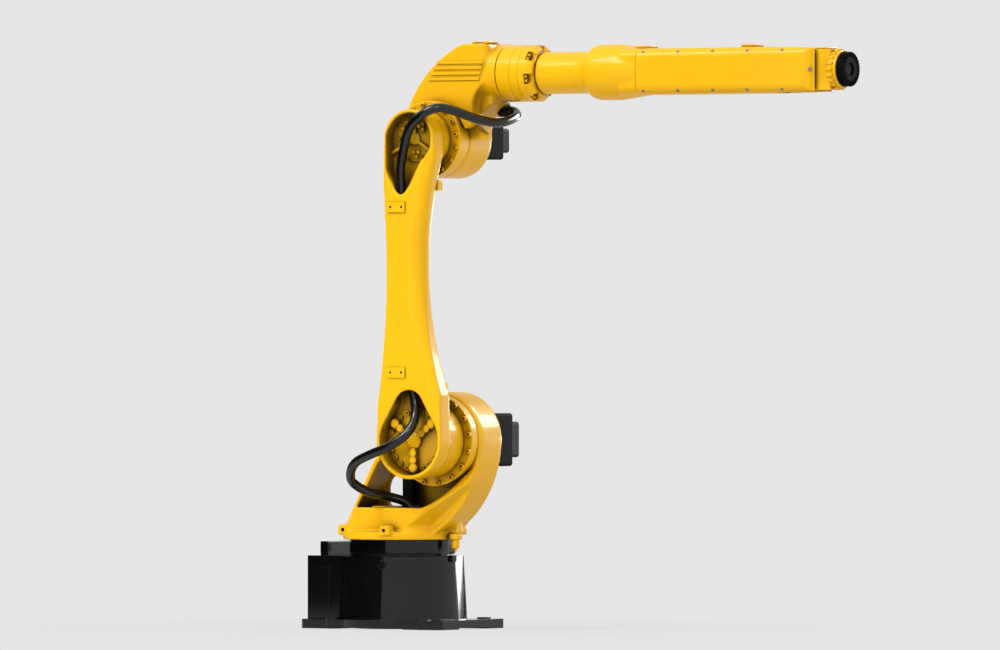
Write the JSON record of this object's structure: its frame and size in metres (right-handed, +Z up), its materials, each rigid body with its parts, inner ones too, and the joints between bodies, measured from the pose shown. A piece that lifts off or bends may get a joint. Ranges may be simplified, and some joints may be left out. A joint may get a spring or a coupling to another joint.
{
  "type": "industrial robot arm",
  "caption": "Floor-mounted articulated industrial robot arm with a turning base, upright lower arm, long slim forearm, bending wrist and round tool flange.",
  "frame": {"origin": "main turning axis at the underside of the base", "axes": "+X forward along the level forearm, +Y to the left, +Z up"},
  "size_m": [1.495, 0.4844, 1.436],
  "materials": {
    "yellow_paint": "glossy yellow enamel on cast metal",
    "black_paint": "satin black enamel",
    "motor_black": "matt black enamel",
    "dark_plastic": "moulded dark plastic",
    "black_rubber": "smooth glossy rubber",
    "flange_black": "blackened steel"
  },
  "bodies": {
    "base": {"base_casting": "black_paint", "cable_box_cover": "black_paint", "connector_block": "black_paint", "bearing_ring": "black_paint", "drum_plug": "black_paint", "zero_block": "black_paint"},
    "turret": {"turret_casting": "yellow_paint", "turn_motor": "motor_black", "turn_motor_plate": "yellow_paint", "shoulder_reducer": "yellow_paint", "shoulder_motor": "motor_black", "shoulder_encoder": "dark_plastic", "stop_pin": "yellow_paint", "lower_gland": "dark_plastic", "lower_hose": "black_rubber"},
    "lower_arm": {"lower_arm": "yellow_paint", "shoulder_hub_plate": "yellow_paint", "elbow_hub_plate": "yellow_paint", "lower_cable_pad": "yellow_paint", "upper_cable_pad": "yellow_paint", "shoulder_stop": "yellow_paint", "elbow_stop": "yellow_paint"},
    "elbow": {"elbow_casting": "yellow_paint", "elbow_reducer": "yellow_paint", "elbow_motor": "motor_black", "elbow_encoder": "dark_plastic", "rear_cover": "yellow_paint", "louvre_panel": "yellow_paint", "top_lugs": "yellow_paint", "under_bracket": "yellow_paint", "upper_gland": "dark_plastic", "upper_hose": "black_rubber", "roll_seal": "black_rubber"},
    "forearm": {"forearm_flange": "yellow_paint", "forearm_shell": "yellow_paint", "near_cover": "yellow_paint", "far_cover": "yellow_paint", "rear_top_pad": "yellow_paint", "front_top_pad": "yellow_paint"},
    "wrist": {"wrist_casting": "yellow_paint", "wrist_ring": "yellow_paint", "wrist_top_plate": "yellow_paint"},
    "tool": {"tool_flange": "flange_black", "flange_cap": "flange_black"}
  },
  "joints": [
    {"name": "main_turn", "type": "hinge", "parent": "base", "child": "turret", "pos_m": [0, 0, 0.218], "axis": [0, 0, 1], "range_deg": [-165, 165]},
    {"name": "shoulder", "type": "hinge", "parent": "turret", "child": "lower_arm", "pos_m": [0.15, -0.1, 0.462], "axis": [0, 1, 0], "range_deg": [-70, 95], "deforming": ["lower_hose"]},
    {"name": "elbow", "type": "hinge", "parent": "lower_arm", "child": "elbow", "pos_m": [0.15, -0.1, 1.197], "axis": [0, -1, 0], "range_deg": [-75, 150], "deforming": ["upper_hose"]},
    {"name": "forearm_roll", "type": "hinge", "parent": "elbow", "child": "forearm", "pos_m": [0.316, 0, 1.357], "axis": [1, 0, 0], "range_deg": [-180, 180]},
    {"name": "wrist_bend", "type": "hinge", "parent": "forearm", "child": "wrist", "pos_m": [1.174, 0, 1.357], "axis": [0, -1, 0], "range_deg": [-110, 110]},
    {"name": "tool_turn", "type": "hinge", "parent": "wrist", "child": "tool", "pos_m": [1.272, 0, 1.357], "axis": [1, 0, 0], "range_deg": [-360, 360]}
  ]
}
